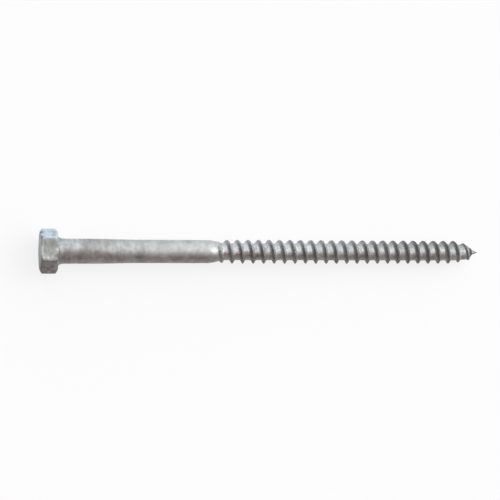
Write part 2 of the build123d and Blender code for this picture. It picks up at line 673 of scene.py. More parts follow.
@dataclass
class ZincCoat:
    """Relief of the hot-dip coat: waves, grain, lumps and knocked crests.

    The coat is rough up to rough_end and calmer from there to the thread. lump_sizes and
    lump_heights are ranges, as shares of a full lump, and lump_reach is how many sizes away a
    lump ends. A crest is knocked down where its noise passes nick_limit.
    """

    sizes: ScrewSizes
    axis: Axis
    wave: float = 0.022 * MM
    wave_size: float = 3.2 * MM
    grain: float = 0.012 * MM
    grain_size: float = 0.7 * MM
    grain_shift: float = 0.5
    rough_end: float = 30.0 * MM
    calming: Ease = Ease.mm(0.0, 8.0)
    roughening: Ease = Ease.mm(-2.0, 2.0)
    calmed: float = 0.7
    layers: int = 2
    lumps_on_head: int = 65
    lumps_on_shank: int = 130
    lumps_on_thread: int = 260
    lump_height: float = 0.09 * MM
    lump_heights: tuple[float, float] = (0.25, 1.0)
    lump_rarity: float = 1.5
    lump_size: float = 0.55 * MM
    lump_sizes: tuple[float, float] = (0.6, 1.5)
    lump_reach: float = 4.0
    head_lumps_end: float = 2.0 * MM
    nick_depth: float = 0.16 * MM
    nick_size: float = 1.6 * MM
    nick_limit: float = 0.25
    nicked_part: Ease = Ease(0.75, 1.0)
    seed: int = 11

    def _on_thread(self, s: Array) -> Array:
        """Rises from 0 to 1 over the first turn of the thread."""
        start = self.sizes.ridge_start
        return smooth_step(start, start + self.sizes.pitch, s)

    def relief(self, points: Array, s: Array, radius: Array) -> Array:
        """Height of the coat above the steel's true form.

        Args:
            points: points of the surface.
            s: their lengths from the bearing face.
            radius: their radii.

        Returns:
            Heights in metres, below zero in a dent.
        """
        noise = LatticeNoise(self.seed)
        calm = self.calming.up(s, self.rough_end) * self.roughening.down(s, self.sizes.ridge_start)
        rough = 1.0 - self.calmed * calm
        height = self.wave * rough * noise.layered(points, self.wave_size, self.layers)
        grain = noise.layered(points + self.grain_shift, self.grain_size, self.layers)
        height += self.grain * (rough + self._on_thread(s)) * grain
        height += self._lumps(points, s)
        height += self._nicks(points, s, radius)
        return height

    def _lumps(self, points: Array, s: Array) -> Array:
        """Small beads of zinc, more of them on the head and under it.

        Args:
            points: points of the surface.
            s: their lengths from the bearing face.

        Returns:
            Heights in metres.
        """
        rng = np.random.RandomState(self.seed + 1)
        sizes = self.sizes
        height = np.zeros(len(points))
        on_head = rng.uniform(-sizes.head_height, self.head_lumps_end, self.lumps_on_head)
        on_shank = rng.uniform(0.0, sizes.ridge_start, self.lumps_on_shank)
        on_thread = rng.uniform(sizes.ridge_start, sizes.nib_start, self.lumps_on_thread)
        for centre_s in np.concatenate([on_head, on_shank, on_thread]):
            turn = rng.uniform(0.0, FULL_TURN)
            size = self.lump_size * rng.uniform(*self.lump_sizes)
            tall = self.lump_height * rng.uniform(*self.lump_heights) ** self.lump_rarity
            near = np.abs(s - centre_s) < self.lump_reach * size
            if not near.any():
                continue
            out = points[near] - self._on_axis(s[near])
            reach = float(np.median(np.hypot(out[:, 1], out[:, 2])))
            gap = np.linalg.norm(points[near] - self.axis.spot(centre_s, reach, turn), axis=1)
            height[near] += tall * np.exp(-((gap / size) ** 2))
        return height

    def _on_axis(self, s: Array) -> Array:
        """Points on the axis at given lengths."""
        return self.axis.place(s, np.zeros_like(s), np.zeros_like(s))

    def _nicks(self, points: Array, s: Array, radius: Array) -> Array:
        """Crests of the thread knocked down a little here and there.

        Args:
            points: points of the surface.
            s: their lengths from the bearing face.
            radius: their radii.

        Returns:
            Heights in metres, none above zero.
        """
        noise = LatticeNoise(self.seed + 2)
        crest = self.nicked_part.up((radius - self.sizes.core_radius) / self.sizes.thread_depth)
        knocks = noise.layered(points, self.nick_size, self.layers) - self.nick_limit
        return -self.nick_depth * crest * self._on_thread(s) * np.clip(knocks, 0.0, 1.0)


@dataclass(frozen=True)
class Grain:
    """Cloudy noise of a finish over the object's own space, in metres.

    scale is its features for each metre, detail the number of finer layers and rough their
    strength. stops are pairs of (position, grey) that its value runs through, and stretch is
    its scale along each axis.
    """

    scale: float
    detail: float
    rough: float
    stops: Stops = ()
    stretch: Direction | None = None


@dataclass(frozen=True)
class NodeBench:
    """Lays out shader nodes in one material."""

    MIX_FACTOR = 0
    MIX_COLOURS = (6, 7)
    MIX_RESULT = 2

    tree: bpy.types.NodeTree

    def add(self, kind: str, **settings: Any) -> bpy.types.Node:
        """Adds a node and sets its properties.

        Args:
            kind: the node's type name.
            settings: properties of the node by name.

        Returns:
            The new node.
        """
        node = self.tree.nodes.new(kind)
        for name, value in settings.items():
            setattr(node, name, value)
        return node

    def feed(self, target: Socket, value: Any) -> None:
        """Links a socket to an input, or sets the input to a constant.

        Args:
            target: the input.
            value: the socket or the constant.
        """
        if isinstance(value, Socket):
            self.tree.links.new(value, target)
        else:
            target.default_value = value

    def noise(self, grain: Grain) -> Socket:
        """Noise over the object's own space.

        Args:
            grain: its scale, layers and stretch.

        Returns:
            The noise's value socket.
        """
        place = self.add("ShaderNodeTexCoord").outputs["Object"]
        if grain.stretch is not None:
            mapping = self.add("ShaderNodeMapping")
            self.feed(mapping.inputs["Scale"], grain.stretch)
            self.feed(mapping.inputs["Vector"], place)
            place = mapping.outputs["Vector"]
        node = self.add("ShaderNodeTexNoise")
        self.feed(node.inputs["Vector"], place)
        self.feed(node.inputs["Scale"], grain.scale)
        self.feed(node.inputs["Detail"], grain.detail)
        self.feed(node.inputs["Roughness"], grain.rough)
        return node.outputs["Fac"]

    def ramp(self, value: Socket, stops: Stops) -> Socket:
        """Maps a value through grey stops.

        Args:
            value: the input socket.
            stops: pairs of (position, grey).

        Returns:
            The colour socket of the ramp.
        """
        node = self.add("ShaderNodeValToRGB")
        self.feed(node.inputs["Fac"], value)
        for element, (position, grey) in zip(node.color_ramp.elements, stops):
            element.position = position
            element.color = (grey, grey, grey, 1.0)
        return node.outputs["Color"]

    def clouds(self, grain: Grain) -> Socket:
        """Noise that is mapped through its own stops."""
        return self.ramp(self.noise(grain), grain.stops)

    def mask(self, mask: Mask) -> Socket:
        """A mask that is stored on the mesh's points."""
        return self.add("ShaderNodeAttribute", attribute_name=mask.value).outputs["Fac"]

    def masked(self, grain: Grain, mask: Mask) -> Socket:
        """Noise through its stops, kept to where a mask is."""
        return self.math("MULTIPLY", self.clouds(grain), self.mask(mask))

    def blend(self, factor: Any, a: Any, b: Any, mode: str = "MIX") -> Socket:
        """Mixes two colours, each a socket or a constant.

        Args:
            factor: socket or number from 0 to 1.
            a: first colour.
            b: second colour.
            mode: how the second is laid over the first.

        Returns:
            The mixed colour's socket.
        """
        node = self.add("ShaderNodeMix", data_type="RGBA", blend_type=mode)
        self.feed(node.inputs[self.MIX_FACTOR], factor)
        for index, colour in zip(self.MIX_COLOURS, (a, b)):
            constant = not isinstance(colour, Socket)
            self.feed(node.inputs[index], (*colour, 1.0) if constant else colour)
        return node.outputs[self.MIX_RESULT]

    def math(self, operation: str, *values: Any) -> Socket:
        """One arithmetic step.

        Args:
            operation: the step's name.
            values: the sockets or numbers that it works on.

        Returns:
            The result's socket.
        """
        node = self.add("ShaderNodeMath", operation=operation)
        for target, value in zip(node.inputs, values):
            self.feed(target, value)
        return node.outputs[0]

    def smooth_range(self, value: Socket, start: float, end: float) -> Socket:
        """Changes smoothly from 0 where a value is start to 1 where it is end.

        Args:
            value: the input socket.
            start: value that gives 0.
            end: value that gives 1.

        Returns:
            The result's socket.
        """
        node = self.add("ShaderNodeMapRange", interpolation_type="SMOOTHSTEP")
        self.feed(node.inputs["Value"], value)
        self.feed(node.inputs["From Min"], start)
        self.feed(node.inputs["From Max"], end)
        return node.outputs["Result"]


@dataclass(frozen=True)
class GalvanisedFinish:
    """Dull hot-dip zinc: grey spangle, white bloom, brown staining, dirt and a little rust, with
    painted shade, shadows, highlights and a cool reflection.

    metal is how metallic the zinc is. bright_share is how far the bright marks take on
    bright_roughness.
    """

    name: str = "hot_dip_zinc"
    fresh: Colour = (0.57, 0.57, 0.56)
    dull: Colour = (0.45, 0.448, 0.435)
    # Painted highlights and painted light in the roots, and bright zinc.
    bright: Colour = (0.76, 0.76, 0.75)
    # A painted cool sky reflection.
    cool: Colour = (0.62, 0.705, 0.79)
    # Dull zinc, also the painted shadow at the neck.
    greenish: Colour = (0.335, 0.35, 0.335)
    bloom: Colour = (0.64, 0.64, 0.625)
    # Painted shade on the side away from the light, and brown staining.
    stain: Colour = (0.205, 0.17, 0.16)
    # Painted shade and shadow, and dirt.
    grime: Colour = (0.105, 0.098, 0.094)
    rust: Colour = (0.20, 0.105, 0.08)
    metal: float = 0.8
    rust_metal: float = 0.1
    bright_roughness: float = 0.40
    bright_share: float = 0.6
    bump_strength: float = 0.45
    bump_depth: float = 0.06 * MM
    patch_grain: Grain = Grain(260.0, 5.0, 0.6, ((0.38, 0.0), (0.62, 1.0)))
    bloom_grain: Grain = Grain(480.0, 3.0, 0.55, ((0.53, 0.0), (0.76, 0.4)))
    pit_grain: Grain = Grain(650.0, 3.0, 0.6, ((0.32, 0.80), (0.50, 1.0)))
    speck_grain: Grain = Grain(1250.0, 2.5, 0.6, ((0.36, 0.60), (0.60, 1.18)))
    streak_grain: Grain = Grain(300.0, 4.0, 0.6, ((0.30, 0.78), (0.70, 1.10)), (3.0, 0.6, 0.6))
    shade_and_stain_grain: Grain = Grain(330.0, 4.0, 0.6, ((0.30, 0.45), (0.62, 1.0)))
    shade_and_grime_grain: Grain = Grain(520.0, 3.0, 0.6, ((0.28, 0.55), (0.55, 1.0)))
    shadow_and_smudge_grain: Grain = Grain(900.0, 3.0, 0.6, ((0.30, 0.4), (0.60, 1.0)))
    rust_grain: Grain = Grain(1500.0, 3.0, 0.6, ((0.16, 0.0), (0.44, 0.7)))
    rough_grain: Grain = Grain(600.0, 5.0, 0.6, ((0.3, 0.44), (0.7, 0.62)))
    bump_grain: Grain = Grain(2200.0, 4.0, 0.6)

    def material(self) -> bpy.types.Material:
        """Builds the node material.

        Returns:
            The material.
        """
        material = bpy.data.materials.new(self.name)
        material.use_nodes = True
        bench = NodeBench(material.node_tree)
        shader = material.node_tree.nodes["Principled BSDF"]
        colour = self._shaded_and_soiled(bench, self._zinc(bench))
        # Painted highlights and painted light in the roots, with bright zinc.
        colour = bench.blend(bench.mask(Mask.BRIGHT), colour, self.bright)
        rust = bench.math("MULTIPLY", bench.noise(self.rust_grain), bench.mask(Mask.RUST))
        rust = bench.ramp(rust, self.rust_grain.stops)
        bench.feed(shader.inputs["Base Color"], bench.blend(rust, colour, self.rust))
        polished = bench.math("MULTIPLY", bench.mask(Mask.BRIGHT), self.bright_share)
        rough = bench.blend(polished, bench.clouds(self.rough_grain), (self.bright_roughness,) * 3)
        bench.feed(shader.inputs["Roughness"], rough)
        metal = bench.blend(rust, (self.metal,) * 3, (self.rust_metal,) * 3)
        bench.feed(shader.inputs["Metallic"], metal)
        bump = bench.add("ShaderNodeBump")
        bench.feed(bump.inputs["Strength"], self.bump_strength)
        bench.feed(bump.inputs["Distance"], self.bump_depth)
        bench.feed(bump.inputs["Height"], bench.noise(self.bump_grain))
        bench.feed(shader.inputs["Normal"], bump.outputs["Normal"])
        return material

    def _zinc(self, bench: NodeBench) -> Socket:
        """Lays out the zinc: patches, painted cool reflection, dull zinc with painted neck shadow,
        bloom, pits, specks and streaks.

        Args:
            bench: the material's nodes.

        Returns:
            The zinc's colour socket.
        """
        colour = bench.blend(bench.clouds(self.patch_grain), self.dull, self.fresh)
        # Painted cool sky reflection on the lit side.
        colour = bench.blend(bench.mask(Mask.COOL), colour, self.cool)
        # Dull zinc, with painted shadow at the neck under the head.
        colour = bench.blend(bench.mask(Mask.DULL), colour, self.greenish)
        colour = bench.blend(bench.clouds(self.bloom_grain), colour, self.bloom)
        for mask, grain in (
            (Mask.STREAK, self.pit_grain),
            (Mask.MOTTLE, self.speck_grain),
            (Mask.STREAK, self.streak_grain),
        ):
            colour = bench.blend(bench.mask(mask), colour, bench.clouds(grain), "MULTIPLY")
        return colour

    def _shaded_and_soiled(self, bench: NodeBench, colour: Socket) -> Socket:
        """Lays painted shade, brown staining, dirt, painted shadows and dirty spots over the zinc.

        Args:
            bench: the material's nodes.
            colour: colour of the clean zinc.

        Returns:
            The soiled colour's socket.
        """
        for mask, grain, dirt in (
            (Mask.UNDERSIDE, self.shade_and_stain_grain, self.stain),
            (Mask.FLANK, self.shade_and_grime_grain, self.grime),
            (Mask.SMUDGE, self.shadow_and_smudge_grain, self.grime),
        ):
            colour = bench.blend(bench.masked(grain, mask), colour, dirt)
        return colour


@dataclass(frozen=True)
class Surface:
    """Points of the screw's surface and what the weathering and the painted light need to know of each.

    s is the length from the bearing face, side the distance to the lit side of the axis, and
    forward and aside are the normal's parts along the axis and to the lit side. cloud is the
    noise that makes the wear and the painted shade uneven.
    """

    sizes: ScrewSizes
    points: Array
    s: Array
    side: Array
    radius: Array
    angle: Array
    forward: Array
    aside: Array
    cloud: Array
    head_edge: Ease = Ease.mm(-0.3, 0.3)
    facing_back: Ease = Ease(0.6, 0.9)
    thread_fade: float = 0.8
    worn_part: Ease = Ease(0.58, 0.88)

    @property
    def on_head(self) -> Array:
        """1 on the head and 0 on the rest."""
        return self.head_edge.down(self.s)

    @property
    def on_top(self) -> Array:
        """1 where the surface faces back from the tip, as the head's top face does."""
        return self.facing_back.up(-self.forward)

    @property
    def on_thread(self) -> Array:
        """1 along the thread and 0 along the rest."""
        start = self.sizes.ridge_start
        return smooth_step(start, start + self.thread_fade * self.sizes.pitch, self.s)

    @property
    def towards_point(self) -> Array:
        """Rises from 0 to 1 along the second half of the thread."""
        length = self.sizes.length
        return smooth_step(length * self.worn_part.low, length * self.worn_part.high, self.s)

    @property
    def tall(self) -> Array:
        """Height above the core of the thread: 0 at the core and 1 at the crest."""
        return (self.radius - self.sizes.core_radius) / self.sizes.thread_depth

    @property
    def from_crest(self) -> Array:
        """Distance along the axis from the middle of the nearest crest, rising to the point."""
        ahead = self.s - self.sizes.ridge_start - self.angle / FULL_TURN * self.sizes.pitch
        return wrapped(ahead, self.sizes.pitch)


class WearAndPaintedLight(ABC):
    """One kind of wear of the coat, painted light and shade, or both."""

    @abstractmethod
    def value(self, at: Surface) -> Array:
        """How strong the wear or the painted light is at each point, nominally from 0 to 1."""


@dataclass(frozen=True)
class PaintedShadeAndBrownStain(WearAndPaintedLight):
    """Painted shade, in a brown tone, on the side away from the light, with a browned stretch of the
    shank and a faint brown film towards the point.

    climb, rise and collar say how much further up the bar the painted shade reaches near the head,
    along one stretch of the shank and close under the head.
    """

    edge: Ease = Ease(-0.05, 0.75)
    edge_wander: float = 0.12
    depth: Patchy = Patchy(0.82, 0.18)
    thread_lean: float = 0.5
    climb: float = 0.30
    climb_end: Ease = Ease.mm(15.0, 25.0)
    rise: float = 0.20
    rise_stretch: Stretch = Stretch.mm(8.0, 11.0, 19.0, 24.0)
    collar: float = 0.08
    collar_end: Ease = Ease.mm(1.5, 4.0)
    browned: Patchy = Patchy(0.40, 0.34)
    browned_stretch: Stretch = Stretch.mm(8.5, 11.0, 17.0, 27.0)
    film: float = 0.08

    def value(self, at: Surface) -> Array:
        """How strong the painted shade and the brown staining are.

        Args:
            at: the points of the surface.

        Returns:
            One value for each point.
        """
        on_head, on_thread = at.on_head, at.on_thread
        lean = self.thread_lean * on_thread
        on_bar = np.cos(at.angle) * (1.0 - lean) + at.aside * lean
        facing = at.aside * on_head + on_bar * (1.0 - on_head)
        higher = self.climb * self.climb_end.down(at.s) * (1.0 - on_head)
        higher += self.rise * self.rise_stretch.along(at.s)
        higher += self.collar * self.collar_end.down(at.s) * (1.0 - on_head)
        # Painted shade where the surface faces away from the light.
        under = self.edge.up(higher - facing + self.edge_wander * at.cloud)
        low = self.browned.of(at.cloud) * self.browned_stretch.along(at.s)
        low += self.film * at.towards_point * on_thread
        return np.maximum(under * self.depth.of(at.cloud), low)


@dataclass(frozen=True)
class PaintedLightAndPooledZinc(WearAndPaintedLight):
    """Painted light and bright pooled zinc between the turns, most of it against the next ridge where
    the ridge shades the root.
    """

    thin: float = 0.10
    thick: float = 0.34
    amount: Patchy = Patchy(1.0, 0.5)
    against: Stretch = Stretch.mm(-1.0, -0.5, 0.1, 0.4)
    valley: Ease = Ease(0.05, 0.40)
    lit: Ease = Ease(-0.5, 0.2)
    fully_lit: Ease = Ease(0.3, 0.8)
    less_when_lit: float = 0.5
    less_to_point: float = 0.35

    def value(self, at: Surface) -> Array:
        """How much painted light and bright zinc there is.

        Args:
            at: the points of the surface.

        Returns:
            One value for each point.
        """
        against = self.against.along(at.from_crest, -at.sizes.half_foot)
        before_nib = 1.0 - smooth_step(at.sizes.point_start, at.sizes.nib_start, at.s)
        fewer = 1.0 - self.less_when_lit * self.fully_lit.up(at.aside)
        fewer *= 1.0 - self.less_to_point * at.towards_point
        amount = (self.thin + self.thick * against) * self.amount.of(at.cloud) * fewer
        # Painted light, only on the side facing the light.
        amount *= self.valley.down(at.tall) * self.lit.up(at.aside)
        return amount * before_nib * at.on_thread


@dataclass(frozen=True)
class Streaks(WearAndPaintedLight):
    """Streaks round the bar, strongest near the head and faint before the thread."""

    usual: float = 0.7
    more_near_head: float = 0.3
    near_head: Ease = Ease.mm(13.0, 17.0)
    less_when_calm: float = 0.55
    calm: Stretch = Stretch.mm(34.0, 40.0, 60.0, 66.0)
    less_on_thread: float = 0.2

    def value(self, at: Surface) -> Array:
        """How strongly the coat is streaked."""
        value = self.usual + self.more_near_head * self.near_head.down(at.s)
        return value - self.less_when_calm * self.calm.along(at.s) - self.less_on_thread * at.on_thread


@dataclass(frozen=True)
class Mottle(WearAndPaintedLight):
    """Specks between the turns of the thread, most of them on its first turns."""

    most: float = 0.9
    fewer: float = 0.35
    fewer_after: Ease = Ease.mm(100.0, 120.0)

    def value(self, at: Surface) -> Array:
        """How strongly the coat is specked."""
        return at.on_thread * (self.most - self.fewer * self.fewer_after.up(at.s))


@dataclass(frozen=True)
class ThreadShadeAndGrime(WearAndPaintedLight):
    """Painted shade on the side of the ridge that faces the head, away from the light; darker worn
    crests and a dark band at the point.
    """

    wander: float = 0.10 * MM
    foot_edge: Ease = Ease.mm(0.10, 0.45)
    crest_edge: Ease = Ease.mm(0.10, 0.65)
    band: float = 0.62
    more_to_point: float = 0.12
    lit: Ease = Ease(-0.1, 0.5)
    less_when_lit: float = 0.55
    cap: float = 0.85
    cap_edge: Ease = Ease(0.30, 0.80)
    end: float = 0.88
    end_start: Ease = Ease.mm(-0.1, 0.4)
    end_fade: Ease = Ease.mm(0.0, 0.4)

    def value(self, at: Surface) -> Array:
        """How strong the painted shade and the darkening are on the thread.

        Args:
            at: the points of the surface.

        Returns:
            One value for each point.
        """
        from_crest = at.from_crest + self.wander * at.cloud
        band = self.foot_edge.up(from_crest, -at.sizes.half_foot) * self.crest_edge.down(from_crest)
        band *= self.band + self.more_to_point * at.towards_point
        # Painted shade, lighter where the flank faces the light.
        band *= at.on_thread * (1.0 - self.less_when_lit * self.lit.up(at.aside))
        caps = self.cap * self.cap_edge.up(at.tall) * at.towards_point
        end = self.end * self.end_start.up(at.s, at.sizes.steep_start)
        end *= self.end_fade.down(at.s, at.sizes.nib_start)
        return np.maximum(np.maximum(band, caps), end)


@dataclass(frozen=True)
class HeadShadeAndGrime(WearAndPaintedLight):
    """Darkening on the top face, mostly painted shade on the dim side, and painted shade on the dim
    flats.

    Places across the top face run from -1 on the dim side to 1 on the lit side.
    """

    face: float = 0.54
    clean: float = 0.32
    clean_at: float = 0.5
    clean_width: float = 0.32
    dim_edge: float = 0.3
    dim_from: Ease = Ease(0.55, 0.85)
    flats: float = 0.19
    dim_flats: Ease = Ease(0.3, 0.7)

    def value(self, at: Surface) -> Array:
        """How strong the darkening and the painted shade are on the head.

        Args:
            at: the points of the surface.

        Returns:
            One value for each point.
        """
        across = at.side / (at.sizes.across_flats / 2)
        clean = self.clean * np.exp(-(((across - self.clean_at) / self.clean_width) ** 2))
        face = self.face - clean + self.dim_edge * self.dim_from.up(-across)
        # Painted shade on the flats that face away from the light.
        flats = self.flats * at.on_head * self.dim_flats.up(-at.aside)
        return np.maximum(face * at.on_top * at.on_head, flats)


@dataclass(frozen=True)
class PaintedCoolReflection(WearAndPaintedLight):
    """Painted cool sky reflection on the lit flats, the top face and the lit side of the neck and
    thread.
    """

    lit_flats: Ease = Ease(0.5, 0.8)
    top: float = 0.45
    neck: Stretch = Stretch.mm(1.0, 4.0, 11.0, 14.0)
    thread: float = 0.9
    bar: float = 0.3
    lit_bar: Ease = Ease(0.1, 0.6)

    def value(self, at: Surface) -> Array:
        """How strong the painted cool reflection is.

        Args:
            at: the points of the surface.

        Returns:
            One value for each point.
        """
        # Painted cool reflection on the lit flats and the top face.
        head = at.on_head * np.maximum(self.lit_flats.up(at.aside), self.top * at.on_top)
        thread = self.thread * at.on_thread * (1.0 - at.towards_point)
        bar = self.bar * np.maximum(self.neck.along(at.s), thread) * self.lit_bar.up(at.aside)
        return np.maximum(head, bar)


@dataclass(frozen=True)
class PaintedNeckShadowAndDullZinc(WearAndPaintedLight):
    """Dull zinc on the head's upper flat and along the shank, painted shadow on the neck under the
    head, and darker zinc on the lit side near the point.
    """

    flat: Patchy = Patchy(0.7, 0.3)
    upright: Ease = Ease(0.3, 0.6)
    less_on_top: float = 0.6
    less_to_light: float = 0.45
    to_light: Ease = Ease.mm(2.2, 4.2)
    neck: float = 0.5
    neck_end: Ease = Ease.mm(1.5, 4.0)
    shank: float = 0.20
    shank_end: Ease = Ease.mm(42.0, 56.0)
    worn: float = 0.75
    worn_side: Ease = Ease(0.0, 0.6)

    def value(self, at: Surface) -> Array:
        """How strong the dull zinc and the painted neck shadow are.

        Args:
            at: the points of the surface.

        Returns:
            One value for each point.
        """
        flat = at.on_head * self.flat.of(at.cloud) * self.upright.down(np.abs(at.aside))
        flat *= 1.0 - self.less_on_top * at.on_top
        flat *= 1.0 - self.less_to_light * self.to_light.up(at.side)
        # The neck part is painted shadow under the head.
        bar = np.maximum(self.neck * self.neck_end.down(at.s), self.shank * self.shank_end.down(at.s))
        worn = self.worn * at.towards_point * self.worn_side.up(at.aside)
        return np.maximum(np.maximum(flat, worn), (1.0 - at.on_head) * bar)


@dataclass(frozen=True)
class Spots(WearAndPaintedLight):
    """Single marks, each strongest in its middle."""

    axis: Axis
    marks: tuple[Mark, ...]

    def value(self, at: Surface) -> Array:
        """How strong the marks are.

        Args:
            at: the points of the surface.

        Returns:
            One value for each point.
        """
        form = ScrewForm(at.sizes)
        total = np.zeros(len(at.points))
        for mark in self.marks:
            reach = form.shank(np.array([mark.s]))[0]
            if mark.s < 0.0:
                from_flat = mark.turn % HEX_SIDE - HALF_SIDE
                reach = at.sizes.across_flats / 2 / math.cos(from_flat)
            centre = self.axis.spot(mark.s, reach, mark.turn)
            gap = np.linalg.norm(at.points - centre, axis=1) / mark.size
            total = np.maximum(total, mark.strength * np.exp(-gap * gap))
        return total


@dataclass(frozen=True)
class WeatheringAndPaintedLight:
    """Where the coat is dull, mottled, stained, grimy or rusty, and where painted shade, shadows,
    highlights and a cool reflection lie.
    """

    axis: Axis
    shadows_and_smudges: tuple[Mark, ...] = (
        # On the upper and the lit flats of the head.
        Mark.at(-2.7, 73.0, 0.9, 0.45),
        Mark.at(-6.8, 24.0, 1.3, 1.0),
        Mark.at(-6.7, 52.0, 1.0, 0.85),
        Mark.at(-1.8, 22.0, 1.0, 0.5),
        Mark.at(-1.9, 42.0, 1.0, 0.35),
        # Painted shade along the top edge of the dim flat and down it.
        Mark.at(-6.5, 122.0, 1.2, 0.95),
        Mark.at(-6.5, 138.0, 1.4, 1.0),
        Mark.at(-6.4, 154.0, 1.5, 1.0),
        Mark.at(-6.3, 170.0, 1.5, 1.0),
        Mark.at(-4.6, 121.0, 0.8, 0.7),
        Mark.at(-2.4, 124.0, 0.8, 0.7),
        Mark.at(-2.1, 146.0, 0.8, 0.75),
        Mark.at(-1.8, 168.0, 0.8, 0.75),
        # Painted shadow round the bearing face and the neck, under the head.
        Mark.at(-0.5, 120.0, 1.0, 0.9),
        Mark.at(-0.2, 107.0, 0.9, 0.85),
        Mark.at(0.4, 106.0, 1.0, 0.8),
        Mark.at(0.5, 126.0, 1.0, 0.8),
        # On the shank.
        Mark.at(32.5, 125.0, 1.5, 0.6),
        Mark.at(49.5, 130.0, 1.4, 0.45),
        Mark.at(54.0, 38.0, 1.6, 0.3),
        # Painted shade in the groove where the ridge leaves the shoulder.
        Mark.at(66.1, 72.0, 0.65, 0.7),
        Mark.at(66.4, 92.0, 0.65, 0.85),
        Mark.at(66.8, 112.0, 0.7, 0.8),
    )
    highlights_and_bright_spots: tuple[Mark, ...] = (
        # Painted highlights and bright zinc along the edges of the head's upper flat.
        Mark.at(-6.9, 82.0, 0.7, 0.75),
        Mark.at(-6.9, 92.0, 0.7, 0.75),
        Mark.at(-6.9, 102.0, 0.7, 0.75),
        Mark.at(-5.9, 111.0, 0.55, 0.9),
        Mark.at(-4.2, 112.0, 0.6, 0.9),
        Mark.at(-2.4, 110.0, 0.5, 0.8),
        Mark.at(-0.5, 89.0, 0.6, 0.9),
        # Painted highlights on the first turns of the thread and by the nib.
        Mark.at(63.9, 93.0, 1.1, 0.85),
        Mark.at(67.9, 93.0, 0.7, 0.8),
        Mark.at(175.0, 80.0, 0.4, 0.7),
        Mark.at(174.9, 105.0, 0.4, 0.8),
    )
    rust_spots: tuple[Mark, ...] = (
        Mark.at(69.0, 112.0, 1.1, 0.8),
        Mark.at(73.8, 114.0, 1.0, 0.9),
        Mark.at(78.6, 114.0, 1.4, 0.9),
    )

    def values(self, at: Surface) -> dict[Mask, Array]:
        """Works out every mask at every point.

        Args:
            at: the points of the surface.

        Returns:
            One array for each mask, nominally from 0 to 1.
        """
        kinds: dict[Mask, tuple[WearAndPaintedLight, ...]] = {
            Mask.UNDERSIDE: (PaintedShadeAndBrownStain(),),
            Mask.FLANK: (ThreadShadeAndGrime(), HeadShadeAndGrime()),
            Mask.BRIGHT: (Spots(self.axis, self.highlights_and_bright_spots), PaintedLightAndPooledZinc()),
            Mask.COOL: (PaintedCoolReflection(),),
            Mask.DULL: (PaintedNeckShadowAndDullZinc(),),
            Mask.MOTTLE: (Mottle(),),
            Mask.STREAK: (Streaks(),),
            Mask.SMUDGE: (Spots(self.axis, self.shadows_and_smudges),),
            Mask.RUST: (Spots(self.axis, self.rust_spots),),
        }
        return {
            mask: np.maximum.reduce([wear.value(at) for wear in wears])
            for mask, wears in kinds.items()
        }


